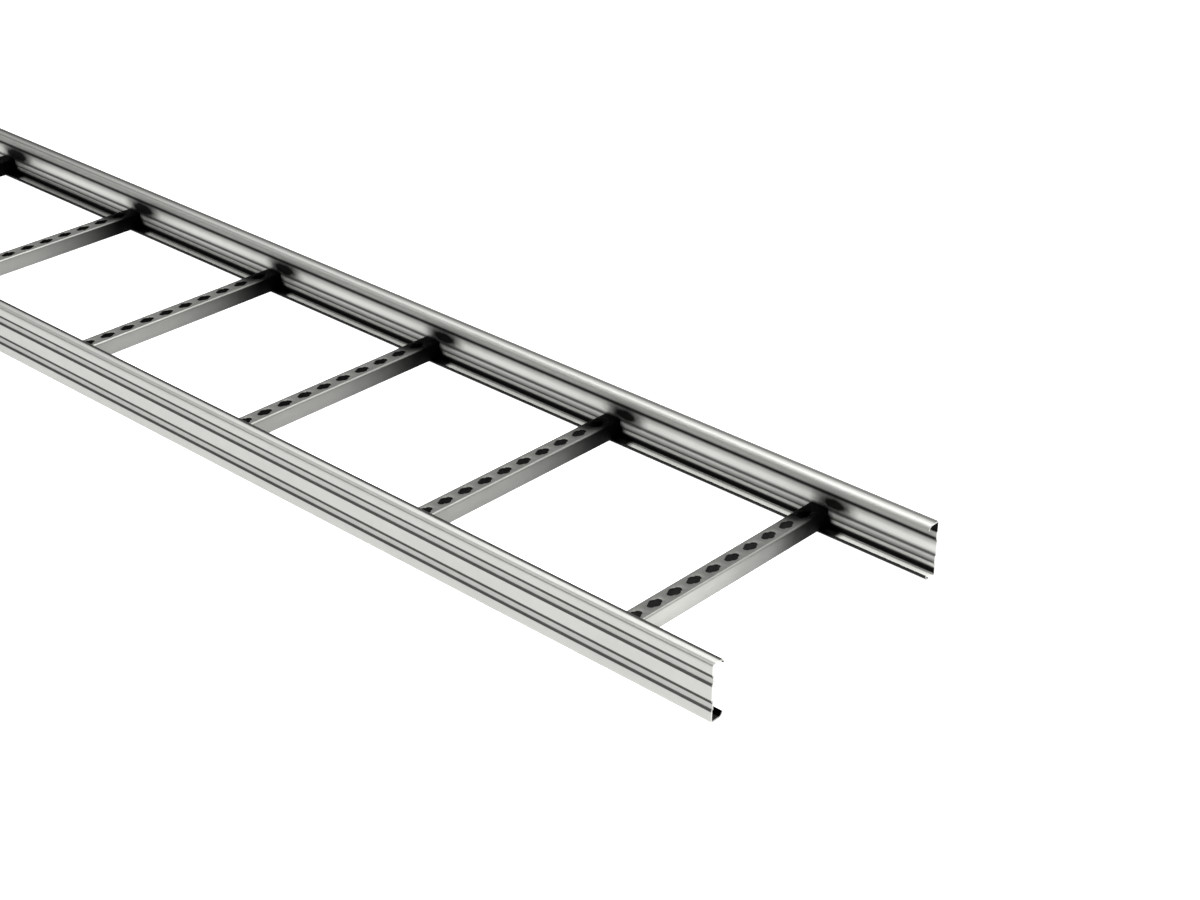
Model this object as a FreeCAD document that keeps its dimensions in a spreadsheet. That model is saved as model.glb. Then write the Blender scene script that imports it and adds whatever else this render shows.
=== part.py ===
import FreeCAD, Part
import math
import os

import Sketcher

os.makedirs("parts", exist_ok=True)

doc = FreeCAD.newDocument("cable_ladder")
vector = FreeCAD.Vector

# Driving sizes in millimetres
SIZES = {
    "ladder_length": 3000.0,
    "ladder_width": 300.0,
    "rail_height": 55.0,
    "top_flange_width": 15.0,
    "bottom_flange_width": 14.5,
    "rail_sheet": 1.5,
    "corner_radius": 2.0,
    "top_curl_radius": 5.0,
    "bottom_curl_radius": 4.75,
    "bead_width": 7.6,
    "bead_depth": 1.1,
    "bead_slope": 0.8,
    "bead_wall": 0.6,
    "bead_spacing": 24.0,
    "lower_bead_height": 16.0,
    "rung_width": 20.5,
    "rung_height": 17.0,
    "rung_sheet": 1.5,
    "rung_edge_radius": 2.0,
    "slot_pitch": 25.0,
    "slot_length": 16.5,
    "slot_width": 7.0,
    "slot_corner": 1.8,
    "eye_width": 11.0,
    "eye_flat": 4.6,
}

sheet = doc.addObject("Spreadsheet::Sheet", "sizes")
for row, (word, value) in enumerate(SIZES.items(), start=1):
    sheet.set("A%d" % row, word)
    sheet.set("B%d" % row, str(value))
    sheet.setAlias("B%d" % row, word)
doc.recompute()


def size(word):
    return "<<sizes>>.%s" % word


# The rungs reach from web to web and share the ladder's length evenly
RUNG_COUNT = 12
rung_pitch = "%s / %d" % (size("ladder_length"), RUNG_COUNT)
rung_length = "%s - 2 * (%s + %s)" % (size("ladder_width"), size("rail_sheet"), size("bead_depth"))
slots_reach = SIZES["ladder_width"] / 2.0 - SIZES["slot_length"]
slots_each_side = int(slots_reach / SIZES["slot_pitch"])


def origin_plane(body, role):
    for feature in body.Origin.OriginFeatures:
        if feature.Role == role:
            return feature
    raise ValueError(role)


def new_body(name):
    body = doc.addObject("PartDesign::Body", name)
    body.Label = name
    return body


def new_sketch(body, name, role):
    sketch = body.newObject("Sketcher::SketchObject", name)
    sketch.AttachmentSupport = (origin_plane(body, role), [""])
    sketch.MapMode = "FlatFace"
    return sketch


def bind(sketch, name, constraint, expression):
    index = sketch.addConstraint(constraint)
    sketch.renameConstraint(index, name)
    sketch.setExpression("Constraints.%s" % name, expression)


def add_quad(sketch, corners):
    for start, end in zip(corners, corners[1:] + corners[:1]):
        sketch.addGeometry(Part.LineSegment(vector(*start, 0), vector(*end, 0)), False)
    for side in range(4):
        sketch.addConstraint(Sketcher.Constraint("Coincident", side, 2, (side + 1) % 4, 1))


def pad_both_ways(body, name, sketch, length):
    pad = body.newObject("PartDesign::Pad", name)
    pad.Profile = sketch
    pad.SideType = "Symmetric"
    pad.setExpression("Length", length)
    doc.recompute()
    return pad


def edge_names(feature, wanted):
    names = []
    for index, edge in enumerate(feature.Shape.Edges, start=1):
        if wanted(edge):
            names.append("Edge%d" % index)
    return names


def face_names(feature, wanted):
    names = []
    for index, face in enumerate(feature.Shape.Faces, start=1):
        if wanted(face):
            names.append("Face%d" % index)
    return names


def near(a, b):
    return abs(a - b) < 0.01


def round_edges(body, name, base, wanted, radius):
    fillet = body.newObject("PartDesign::Fillet", name)
    fillet.Base = (base, edge_names(base, wanted))
    fillet.setExpression("Radius", size(radius))
    doc.recompute()
    return fillet


def hollow(body, name, base, open_faces, thickness):
    shell = body.newObject("PartDesign::Thickness", name)
    shell.Base = (base, face_names(base, open_faces))
    shell.Reversed = True
    shell.setExpression("Value", size(thickness))
    doc.recompute()
    return shell


def repeat(body, name, feature, role, span, count):
    pattern = body.newObject("PartDesign::LinearPattern", name)
    pattern.Originals = [feature]
    pattern.Direction = (origin_plane(body, role), [""])
    pattern.setExpression("Length", span)
    pattern.Occurrences = count
    body.Tip = pattern
    doc.recompute()
    return pattern


# The sheet is folded at four places, and each fold has an outer and an inner arc
def fold(sketch, centre, radius, quarter):
    circle = Part.Circle(vector(*centre, 0), vector(0, 0, 1), radius)
    start = quarter * math.pi / 2.0
    return sketch.addGeometry(Part.ArcOfCircle(circle, start, start + math.pi / 2.0), False)


def join_tangent(sketch, joints):
    for first, first_end, second, second_end in joints:
        sketch.addConstraint(Sketcher.Constraint("Tangent", first, first_end, second, second_end))


def flat(sketch, start, end):
    return sketch.addGeometry(Part.LineSegment(vector(*start, 0), vector(*end, 0)), False)


# The rail's section: web outside at y = 0, flanges inwards, underside at z = 0
def rail_section(body):
    height = SIZES["rail_height"]
    sheet_size = SIZES["rail_sheet"]
    corner = SIZES["corner_radius"]
    top_curl = SIZES["top_curl_radius"]
    bottom_curl = SIZES["bottom_curl_radius"]
    top_width = SIZES["top_flange_width"]
    bottom_width = SIZES["bottom_flange_width"]
    folds = [
        ("top_curl", (top_width - top_curl, height - top_curl), top_curl, 0),
        ("top_corner", (corner, height - corner), corner, 1),
        ("bottom_corner", (corner, corner), corner, 2),
        ("bottom_curl", (bottom_width - bottom_curl, bottom_curl), bottom_curl, 3),
    ]
    radius_words = ["top_curl_radius", "corner_radius", "corner_radius", "bottom_curl_radius"]
    sketch = new_sketch(body, "%s_section" % body.Name, "YZ_Plane")

    outer = [fold(sketch, centre, radius, quarter) for _, centre, radius, quarter in folds]
    inner = [fold(sketch, centre, radius - sheet_size, quarter) for _, centre, radius, quarter in folds]
    top = flat(sketch, (top_width - top_curl, height), (corner, height))
    web = flat(sketch, (0, height - corner), (0, corner))
    floor = flat(sketch, (corner, 0), (bottom_width - bottom_curl, 0))
    inner_top = flat(sketch, (top_width - top_curl, height - sheet_size), (corner, height - sheet_size))
    inner_web = flat(sketch, (sheet_size, height - corner), (sheet_size, corner))
    inner_floor = flat(sketch, (corner, sheet_size), (bottom_width - bottom_curl, sheet_size))
    top_lip = flat(sketch, (top_width, height - top_curl), (top_width - sheet_size, height - top_curl))
    bottom_lip = flat(sketch, (bottom_width, bottom_curl), (bottom_width - sheet_size, bottom_curl))

    for arcs, lines in ((outer, (top, web, floor)), (inner, (inner_top, inner_web, inner_floor))):
        for index, line in enumerate(lines):
            join_tangent(sketch, [(arcs[index], 2, line, 1), (line, 2, arcs[index + 1], 1)])
    for outer_arc, inner_arc in zip(outer, inner):
        sketch.addConstraint(Sketcher.Constraint("Coincident", outer_arc, 3, inner_arc, 3))
    for lip, arc, end in ((top_lip, 0, 1), (bottom_lip, 3, 2)):
        sketch.addConstraint(Sketcher.Constraint("Coincident", lip, 1, outer[arc], end))
        sketch.addConstraint(Sketcher.Constraint("Coincident", lip, 2, inner[arc], end))
        sketch.addConstraint(Sketcher.Constraint("Horizontal", lip))
        sketch.addConstraint(Sketcher.Constraint("Horizontal", outer[arc], end, outer[arc], 3))
    sketch.addConstraint(Sketcher.Constraint("Horizontal", top))
    sketch.addConstraint(Sketcher.Constraint("Horizontal", floor))
    sketch.addConstraint(Sketcher.Constraint("Vertical", web))
    sketch.addConstraint(Sketcher.Constraint("PointOnObject", web, 1, -2))
    sketch.addConstraint(Sketcher.Constraint("PointOnObject", floor, 1, -1))

    for index, (word, _, radius, _) in enumerate(folds):
        outside = Sketcher.Constraint("Radius", outer[index], radius)
        inside = Sketcher.Constraint("Radius", inner[index], radius - sheet_size)
        bind(sketch, "%s_outside" % word, outside, size(radius_words[index]))
        bind(sketch, "%s_inside" % word, inside, "%s - %s" % (size(radius_words[index]), size("rail_sheet")))
    tall = Sketcher.Constraint("DistanceY", floor, 1, top, 2, height)
    bind(sketch, "height", tall, size("rail_height"))
    across = Sketcher.Constraint("DistanceX", web, 1, outer[0], 1, top_width)
    bind(sketch, "top_width", across, size("top_flange_width"))
    across = Sketcher.Constraint("DistanceX", web, 1, outer[3], 2, bottom_width)
    bind(sketch, "bottom_width", across, size("bottom_flange_width"))
    return sketch


# A bead's section is a trapezium that narrows inwards by the slope at each side
def bead_section(body, name, start, half_width, start_text, half_text):
    depth = SIZES["bead_depth"]
    slope = SIZES["bead_slope"]
    middle = SIZES["lower_bead_height"]
    sketch = new_sketch(body, name, "YZ_Plane")
    add_quad(sketch, [
        (start, middle - half_width),
        (start + depth, middle - half_width + slope),
        (start + depth, middle + half_width - slope),
        (start, middle + half_width),
    ])
    sketch.addConstraint(Sketcher.Constraint("Vertical", 1))
    sketch.addConstraint(Sketcher.Constraint("Vertical", 3))
    low = Sketcher.Constraint("DistanceY", -1, 1, 0, 1, middle - half_width)
    high = Sketcher.Constraint("DistanceY", -1, 1, 2, 2, middle + half_width)
    bind(sketch, "low", low, "%s - (%s)" % (size("lower_bead_height"), half_text))
    bind(sketch, "high", high, "%s + %s" % (size("lower_bead_height"), half_text))
    bind(sketch, "depth", Sketcher.Constraint("DistanceX", 0, 1, 0, 2, depth), size("bead_depth"))
    bind(sketch, "low_slope", Sketcher.Constraint("DistanceY", 0, 1, 0, 2, slope), size("bead_slope"))
    bind(sketch, "high_slope", Sketcher.Constraint("DistanceY", 2, 1, 2, 2, slope), size("bead_slope"))
    if start == 0:
        sketch.addConstraint(Sketcher.Constraint("PointOnObject", 0, 1, -2))
    else:
        bind(sketch, "start", Sketcher.Constraint("DistanceX", -1, 1, 0, 1, start), start_text)
    return sketch


def add_beads(body):
    name = body.Name
    half = SIZES["bead_width"] / 2.0
    ridge_half = half + SIZES["bead_wall"]
    half_text = "%s / 2" % size("bead_width")
    ridge_text = "(%s / 2 + %s)" % (size("bead_width"), size("bead_wall"))

    ridge_sketch = bead_section(body, "%s_ridge_section" % name, SIZES["rail_sheet"], ridge_half,
                                size("rail_sheet"), ridge_text)
    ridge = pad_both_ways(body, "%s_ridge" % name, ridge_sketch, size("ladder_length"))
    repeat(body, "%s_ridges" % name, ridge, "Z_Axis", size("bead_spacing"), 2)

    groove_sketch = bead_section(body, "%s_groove_section" % name, 0, half, "0", half_text)
    groove = body.newObject("PartDesign::Pocket", "%s_groove" % name)
    groove.Profile = groove_sketch
    groove.SideType = "Symmetric"
    groove.setExpression("Length", "%s + 10" % size("ladder_length"))
    doc.recompute()
    repeat(body, "%s_grooves" % name, groove, "Z_Axis", size("bead_spacing"), 2)


def side_rail(name, side):
    body = new_body(name)
    pad_both_ways(body, "%s_channel" % name, rail_section(body), size("ladder_length"))
    add_beads(body)
    body.setExpression("Placement.Base.y", "%d * %s / 2" % (side, size("ladder_width")))
    if side > 0:
        body.Placement.Rotation = FreeCAD.Rotation(vector(0, 0, 1), 180)
    return body


# A rung is a channel that opens downwards, with its underside edges at z = 0
def rung_channel(body):
    half = SIZES["rung_width"] / 2.0
    height = SIZES["rung_height"]
    reach = SIZES["ladder_width"] / 2.0 - SIZES["rail_sheet"] - SIZES["bead_depth"]
    name = body.Name
    sketch = new_sketch(body, "%s_outline" % name, "XZ_Plane")
    add_quad(sketch, [(-half, 0), (half, 0), (half, height), (-half, height)])
    sketch.addConstraint(Sketcher.Constraint("Horizontal", 0))
    sketch.addConstraint(Sketcher.Constraint("Vertical", 1))
    sketch.addConstraint(Sketcher.Constraint("Horizontal", 2))
    sketch.addConstraint(Sketcher.Constraint("Vertical", 3))
    sketch.addConstraint(Sketcher.Constraint("Symmetric", 0, 1, 0, 2, -1, 1))
    bind(sketch, "width", Sketcher.Constraint("DistanceX", 0, 1, 0, 2, 2 * half), size("rung_width"))
    bind(sketch, "height", Sketcher.Constraint("DistanceY", 1, 1, 1, 2, height), size("rung_height"))
    block = pad_both_ways(body, "%s_block" % name, sketch, rung_length)

    def top_edge(edge):
        first, last = edge.Vertexes[0].Point, edge.Vertexes[-1].Point
        return near(first.z, height) and near(last.z, height) and near(first.x, last.x)

    rounded = round_edges(body, "%s_top_edges" % name, block, top_edge, "rung_edge_radius")

    def open_side(face):
        centre = face.CenterOfMass
        return near(centre.z, 0) or near(abs(centre.y), reach)

    return hollow(body, "%s_channel" % name, rounded, open_side, "rung_sheet")


# Each opening is a slot along the rung with a wider eye in its middle
def opening_corners():
    slot_half = SIZES["slot_width"] / 2.0
    eye_half = SIZES["eye_width"] / 2.0
    reach = SIZES["slot_length"] / 2.0
    corner = SIZES["slot_corner"]
    eye_flat = SIZES["eye_flat"] / 2.0
    slot_text = "%s / 2" % size("slot_width")
    eye_text = "%s / 2" % size("eye_width")
    reach_text = "%s / 2" % size("slot_length")
    corner_text = size("slot_corner")
    flat_text = "%s / 2" % size("eye_flat")
    shoulder_text = "%s + %s - %s" % (flat_text, eye_text, slot_text)
    return [
        (eye_half, eye_text, eye_flat, flat_text),
        (slot_half, slot_text, eye_flat + eye_half - slot_half, shoulder_text),
        (slot_half, slot_text, reach - corner, "%s - %s" % (reach_text, corner_text)),
        (slot_half - corner, "%s - %s" % (slot_text, corner_text), reach, reach_text),
    ]


def opening_outline(body, first, first_text):
    quarter = opening_corners()
    points = []
    for across, along, corners in ((1, 1, quarter), (-1, 1, quarter[::-1]),
                                   (-1, -1, quarter), (1, -1, quarter[::-1])):
        for x, x_text, y, y_text in corners:
            x_rule = "%d * (%s)" % (across, x_text)
            y_rule = "%s + %d * (%s)" % (first_text, along, y_text)
            points.append((across * x, x_rule, first + along * y, y_rule))
    sketch = new_sketch(body, "%s_opening" % body.Name, "XY_Plane")
    for start, end in zip(points, points[1:] + points[:1]):
        flat(sketch, (start[0], start[2]), (end[0], end[2]))
    for index, (x, x_rule, y, y_rule) in enumerate(points):
        before = (index - 1) % len(points)
        across = Sketcher.Constraint("DistanceX", -1, 1, index, 1, x)
        along = Sketcher.Constraint("DistanceY", -1, 1, index, 1, y)
        sketch.addConstraint(Sketcher.Constraint("Coincident", before, 2, index, 1))
        bind(sketch, "x%d" % index, across, x_rule)
        bind(sketch, "y%d" % index, along, y_rule)
    return sketch


def add_openings(body):
    first = -slots_each_side * SIZES["slot_pitch"]
    first_text = "-%d * %s" % (slots_each_side, size("slot_pitch"))
    cut = body.newObject("PartDesign::Pocket", "%s_first_opening" % body.Name)
    cut.Profile = opening_outline(body, first, first_text)
    cut.Type = "ThroughAll"
    cut.Reversed = True
    doc.recompute()
    span = "%d * %s" % (2 * slots_each_side, size("slot_pitch"))
    repeat(body, "%s_openings" % body.Name, cut, "Y_Axis", span, 2 * slots_each_side + 1)


# A rung stands on the curled lips of the two bottom flanges
def rung(number):
    body = new_body("rung_%02d" % number)
    rung_channel(body)
    add_openings(body)
    steps = number - 0.5
    body.setExpression("Placement.Base.x", "%s / 2 - %s * %s" % (size("ladder_length"), steps, rung_pitch))
    body.setExpression("Placement.Base.z", size("bottom_curl_radius"))
    return body


pieces = [side_rail("side_rail_right", -1), side_rail("side_rail_left", 1)]
for number in range(1, RUNG_COUNT + 1):
    pieces.append(rung(number))
doc.recompute()

# Every feature is sound before anything is written
for item in doc.Objects:
    if "Invalid" in item.State or "Error" in item.State:
        raise RuntimeError("%s: %s" % (item.Name, item.State))
for piece in pieces:
    if piece.Shape.isNull() or not piece.Shape.isValid() or len(piece.Shape.Solids) != 1:
        raise RuntimeError("%s isn't one sound solid" % piece.Label)

for piece in pieces:
    piece.Shape.exportStep("parts/%s.step" % piece.Label)
    box = piece.Shape.BoundBox
    low = [round(box.XMin, 2), round(box.YMin, 2), round(box.ZMin, 2)]
    high = [round(box.XMax, 2), round(box.YMax, 2), round(box.ZMax, 2)]
    print(piece.Label, round(piece.Shape.Volume), low, high)
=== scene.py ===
# %% [markdown]
# # A cable ladder in Blender
# A cable ladder carries electric cables through a building. It has two side
# rails, folded from steel sheet, and flat channel rungs with a row of slots
# for clamps and ties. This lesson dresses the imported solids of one 3 m length:
# it sweeps the rails' folded section, repeats the rungs' slotted cell, and
# gives both the look of new galvanised steel.

# %% Load the frame
import math
import bmesh
import bpy
from mathutils import Matrix, Vector


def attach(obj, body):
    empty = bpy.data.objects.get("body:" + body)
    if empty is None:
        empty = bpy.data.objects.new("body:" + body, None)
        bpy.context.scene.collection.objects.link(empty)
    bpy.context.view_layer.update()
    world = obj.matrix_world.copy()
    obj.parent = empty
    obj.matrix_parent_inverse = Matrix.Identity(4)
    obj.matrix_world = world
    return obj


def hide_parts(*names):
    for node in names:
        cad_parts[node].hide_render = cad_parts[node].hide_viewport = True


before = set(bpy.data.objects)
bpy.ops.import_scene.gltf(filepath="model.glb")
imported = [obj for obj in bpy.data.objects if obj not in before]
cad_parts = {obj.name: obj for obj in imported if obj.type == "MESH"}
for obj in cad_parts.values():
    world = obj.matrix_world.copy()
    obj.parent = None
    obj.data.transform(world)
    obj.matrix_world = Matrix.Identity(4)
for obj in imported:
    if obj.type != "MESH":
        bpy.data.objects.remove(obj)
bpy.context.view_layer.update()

rungs = sorted(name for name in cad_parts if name.startswith("rung_"))
print("rungs:", len(rungs))

# %% [markdown]
# ## Sizes
# Every length is in metres and is the size that the solids have. Writing the
# sizes once, with plain names, keeps the dressed pieces and the solids alike.

# %% Name the sizes
MM = 0.001
LADDER_LENGTH = 3.0
LADDER_WIDTH = 0.3
RAIL_HEIGHT = 55 * MM
TOP_FLANGE = 15 * MM
BOTTOM_FLANGE = 14.5 * MM
RAIL_SHEET = 1.5 * MM
CORNER_RADIUS = 2 * MM
TOP_CURL_RADIUS = 5 * MM
BOTTOM_CURL_RADIUS = 4.75 * MM
BEAD_WIDTH = 7.6 * MM
BEAD_DEPTH = 1.1 * MM
BEAD_SLOPE = 0.8 * MM
BEAD_WALL = 0.6 * MM
BEAD_HEIGHTS = (16 * MM, 40 * MM)
RUNG_PITCH = 250 * MM
FIRST_RUNG = RUNG_PITCH / 2
RUNG_WIDTH = 20.5 * MM
RUNG_HEIGHT = 17 * MM
RUNG_FOOT = BOTTOM_CURL_RADIUS
RUNG_SHEET = 1.5 * MM
RUNG_EDGE_RADIUS = 2 * MM
SLOT_PITCH = 25 * MM
SLOT_COUNT = 11
SLOT_LENGTH = 16.5 * MM
SLOT_WIDTH = 7 * MM
EYE_WIDTH = 11 * MM
rung_reach = LADDER_WIDTH / 2 - RAIL_SHEET - BEAD_DEPTH
WELD_DISTANCE = 0.01 * MM
SAME_PLACE = 1e-6
print("rung length in mm:", round(2 * rung_reach / MM, 1))

# %% [markdown]
# ## Camera
# The photograph was taken with a long lens from above the near rail, so the
# rails run off to the left and hardly converge. The angles and the place come
# from matching the rails' lines and the rungs' repeats to the picture.

# %% Place the camera
PHOTO_WIDTH = 1200
FOCAL_LENGTH_IN_PIXELS = 2235.4
CAMERA_PLACE = (2.400473, -1.259096, 1.019672)
turn, drop, roll = math.radians(132.566), math.radians(28.599), math.radians(0.228)
forward = Vector((math.cos(turn) * math.cos(drop), math.sin(turn) * math.cos(drop), -math.sin(drop)))
level_right = Vector((math.sin(turn), -math.cos(turn), 0))
level_up = level_right.cross(forward)
right = math.cos(roll) * level_right + math.sin(roll) * level_up
up = math.cos(roll) * level_up - math.sin(roll) * level_right

camera_data = bpy.data.cameras.new("photo_camera")
camera_data.sensor_width = 36
camera_data.lens = camera_data.sensor_width * FOCAL_LENGTH_IN_PIXELS / PHOTO_WIDTH
camera_data.clip_end = 60
camera = bpy.data.objects.new("photo_camera", camera_data)
camera.matrix_world = Matrix((
    (right.x, up.x, -forward.x, CAMERA_PLACE[0]),
    (right.y, up.y, -forward.y, CAMERA_PLACE[1]),
    (right.z, up.z, -forward.z, CAMERA_PLACE[2]),
    (0, 0, 0, 1),
))
bpy.context.collection.objects.link(camera)
bpy.context.scene.camera = camera
print("lens in mm:", round(camera_data.lens, 2))

# %% [markdown]
# ## Floor and light
# The picture has a white ground with almost no shadow. A pale floor that glows
# a little, like a light table, gives that, with a wide soft light overhead and
# a weaker one beside the camera. The air behind the ladder stays grey, so that
# bare steel has something to reflect.

# %% Lay the floor
FLOOR_REACH = 30
corner_signs = ((-1, -1), (1, -1), (1, 1), (-1, 1))
floor_corners = [(across * FLOOR_REACH, along * FLOOR_REACH, 0) for across, along in corner_signs]
floor_mesh = bpy.data.meshes.new("floor")
floor_mesh.from_pydata(floor_corners, [], [(0, 1, 2, 3)])
floor = bpy.data.objects.new("floor", floor_mesh)
bpy.context.collection.objects.link(floor)
floor_paint = bpy.data.materials.new("pale_floor")
floor_paint.use_nodes = True
floor_shader = floor_paint.node_tree.nodes["Principled BSDF"]
floor_shader.inputs["Base Color"].default_value = (0.58, 0.58, 0.58, 1)
floor_shader.inputs["Emission Color"].default_value = (1, 1, 1, 1)
floor_shader.inputs["Emission Strength"].default_value = 0.9
floor_shader.inputs["Roughness"].default_value = 0.9
floor_shader.inputs["Specular IOR Level"].default_value = 0.1
floor_mesh.materials.append(floor_paint)
print("floor laid")

# %% Hang the lights
world = bpy.data.worlds.new("studio_air")
world.use_nodes = True
world.node_tree.nodes["Background"].inputs["Color"].default_value = (0.98, 0.99, 1.0, 1)
world.node_tree.nodes["Background"].inputs["Strength"].default_value = 0.38
bpy.context.scene.world = world
bpy.context.scene.view_settings.view_transform = "Standard"


def soft_light(name, place, target, width, power):
    data = bpy.data.lights.new(name, "AREA")
    data.shape = "SQUARE"
    data.size = width
    data.energy = power
    lamp = bpy.data.objects.new(name, data)
    lamp.location = place
    lamp.rotation_euler = (Vector(target) - Vector(place)).to_track_quat("-Z", "Y").to_euler()
    bpy.context.collection.objects.link(lamp)


soft_light("overhead_softbox", (0.3, -0.3, 4.0), (0.3, 0, 0), 5.0, 620)
soft_light("camera_side_softbox", (4.2, -3.6, 2.4), (0.8, 0, 0), 2.5, 90)

# %% [markdown]
# ## Shared surface effects
# Hot-dip zinc isn't one flat grey: it has faint cloudy grains, and the sheet
# under it has fine lines from the rolling mill. Both effects are node groups,
# built once, which put out plain numbers that each steel uses in its own way.

# %% Start a node group
def new_group(name, inputs, outputs):
    group = bpy.data.node_groups.new(name, "ShaderNodeTree")
    for label, value in inputs:
        socket = group.interface.new_socket(label, in_out="INPUT", socket_type="NodeSocketFloat")
        socket.default_value = value
    for label in outputs:
        group.interface.new_socket(label, in_out="OUTPUT", socket_type="NodeSocketFloat")
    return group, group.nodes.new("NodeGroupInput"), group.nodes.new("NodeGroupOutput")


def maths(tree, operation, *values, clamp=False):
    node = tree.nodes.new("ShaderNodeMath")
    node.operation = operation
    node.use_clamp = clamp
    for socket, value in zip(node.inputs, values):
        if isinstance(value, (int, float)):
            socket.default_value = value
        else:
            tree.links.new(value, socket)
    return node.outputs[0]


def object_axes(tree):
    split = tree.nodes.new("ShaderNodeSeparateXYZ")
    tree.links.new(tree.nodes.new("ShaderNodeTexCoord").outputs["Object"], split.inputs[0])
    return split.outputs


print("helpers ready")

# %% Zinc grain
grain, grain_in, grain_out = new_group(
    "zinc_grain", [("Grain Scale", 90.0), ("Cloud Scale", 14.0)], ["Grain", "Cloud"])
coordinates = grain.nodes.new("ShaderNodeTexCoord")
crystals = grain.nodes.new("ShaderNodeTexVoronoi")
crystals.feature = "SMOOTH_F1"
crystals.inputs["Smoothness"].default_value = 0.6
grain.links.new(coordinates.outputs["Object"], crystals.inputs["Vector"])
grain.links.new(grain_in.outputs["Grain Scale"], crystals.inputs["Scale"])
clouds = grain.nodes.new("ShaderNodeTexNoise")
clouds.inputs["Detail"].default_value = 3
grain.links.new(coordinates.outputs["Object"], clouds.inputs["Vector"])
grain.links.new(grain_in.outputs["Cloud Scale"], clouds.inputs["Scale"])
grain.links.new(crystals.outputs["Distance"], grain_out.inputs["Grain"])
grain.links.new(clouds.outputs["Fac"], grain_out.inputs["Cloud"])
print("zinc_grain nodes:", len(grain.nodes))

# %% Rolling lines
rolling, rolling_in, rolling_out = new_group(
    "rolling_lines", [("Along X", 2.0), ("Along Y", 2.0), ("Along Z", 900.0)], ["Lines"])
axes = object_axes(rolling)
stretched = rolling.nodes.new("ShaderNodeCombineXYZ")
for index, label in enumerate(("Along X", "Along Y", "Along Z")):
    product = maths(rolling, "MULTIPLY", axes[index], rolling_in.outputs[label])
    rolling.links.new(product, stretched.inputs[index])
lines = rolling.nodes.new("ShaderNodeTexNoise")
lines.inputs["Scale"].default_value = 1
lines.inputs["Detail"].default_value = 2
rolling.links.new(stretched.outputs[0], lines.inputs["Vector"])
rolling.links.new(lines.outputs["Fac"], rolling_out.inputs["Lines"])
print("rolling_lines nodes:", len(rolling.nodes))

# %% [markdown]
# ## Where the nearest rung is
# The photo shows dark marks where a rung meets the web, mostly on one side.
# They are painted shade, and on the web a painted reflection of the rung. They come back at
# every rung, so they need the distance to the nearest rung along the ladder. A
# second group turns that distance and a height into a soft oval.

# %% Distance along the ladder
nearest, _, nearest_out = new_group("nearest_rung", [], ["Offset", "Number"])
first_rung_x = LADDER_LENGTH / 2 - FIRST_RUNG
from_first = maths(nearest, "SUBTRACT", first_rung_x, object_axes(nearest)[0])
steps = maths(nearest, "DIVIDE", from_first, RUNG_PITCH)
number = maths(nearest, "ROUND", steps)
offset = maths(nearest, "MULTIPLY", maths(nearest, "SUBTRACT", number, steps), RUNG_PITCH)
nearest.links.new(offset, nearest_out.inputs["Offset"])
nearest.links.new(number, nearest_out.inputs["Number"])
print("nearest_rung nodes:", len(nearest.nodes))

# %% A soft oval at every rung
# An oval mask for the painted shade at each joint; noise roughens its border.
RAGGED_SCALE = 160
RAGGED_SHARE = 0.2
halo, halo_in, halo_out = new_group(
    "joint_shade_halo",
    [("Ahead", 0.015), ("Height", 0.027), ("Half Length", 0.018), ("Half Height", 0.006), ("Soft", 0.4)],
    ["Mask"])
place_along = halo.nodes.new("ShaderNodeGroup")
place_along.node_tree = nearest
ahead = maths(halo, "SUBTRACT", place_along.outputs["Offset"], halo_in.outputs["Ahead"])
above = maths(halo, "SUBTRACT", object_axes(halo)[2], halo_in.outputs["Height"])
ahead_share = maths(halo, "DIVIDE", ahead, halo_in.outputs["Half Length"])
above_share = maths(halo, "DIVIDE", above, halo_in.outputs["Half Height"])
ahead_square = maths(halo, "MULTIPLY", ahead_share, ahead_share)
above_square = maths(halo, "MULTIPLY", above_share, above_share)
radius = maths(halo, "SQRT", maths(halo, "ADD", ahead_square, above_square))
ragged_noise = halo.nodes.new("ShaderNodeTexNoise")
ragged_noise.inputs["Scale"].default_value = RAGGED_SCALE
halo.links.new(halo.nodes.new("ShaderNodeTexCoord").outputs["Object"], ragged_noise.inputs["Vector"])
uneven = maths(halo, "MULTIPLY", maths(halo, "SUBTRACT", ragged_noise.outputs["Fac"], 0.5), RAGGED_SHARE)
radius = maths(halo, "ADD", radius, uneven)
fade = maths(halo, "DIVIDE", maths(halo, "SUBTRACT", 1.0, radius), halo_in.outputs["Soft"], clamp=True)
halo.links.new(fade, halo_out.inputs["Mask"])
print("joint_shade_halo nodes:", len(halo.nodes))

# %% [markdown]
# ## Tone charts
# In the photo each edge of a bead is a thin dark line, and the folds hold
# wider ones. These lines are painted shade and painted reflections, and so are
# the black under the top flange and the dark band in the bottom corner, while
# the pale and grey bands on the rounded edges are painted highlights and
# reflections. They run along the whole rail, so the tone depends only on the
# place in the section, and a colour ramp is a good chart for that: it lists
# places in millimetres, each with a tone from 0, black, to 1, the palest zinc.
# The tones were tuned by measure until the render looked like the photo, so
# that studio's light and shade are painted into them. The helper beyond() takes
# millimetres too, and rises from 0 to 1 past a start, over a soft width.

# %% Read a chart
def tone_chart(tree, value, stops):
    low, high = stops[0][0], stops[-1][0]
    spread = tree.nodes.new("ShaderNodeMapRange")
    spread.inputs["From Min"].default_value = low * MM
    spread.inputs["From Max"].default_value = high * MM
    tree.links.new(value, spread.inputs["Value"])
    chart = tree.nodes.new("ShaderNodeValToRGB")
    for place, _ in stops[1:-1]:
        chart.color_ramp.elements.new((place - low) / (high - low))
    for element, (place, tone) in zip(chart.color_ramp.elements, stops):
        element.color = (tone, tone, tone, 1)
    tree.links.new(spread.outputs[0], chart.inputs[0])
    return chart.outputs["Color"]


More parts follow.
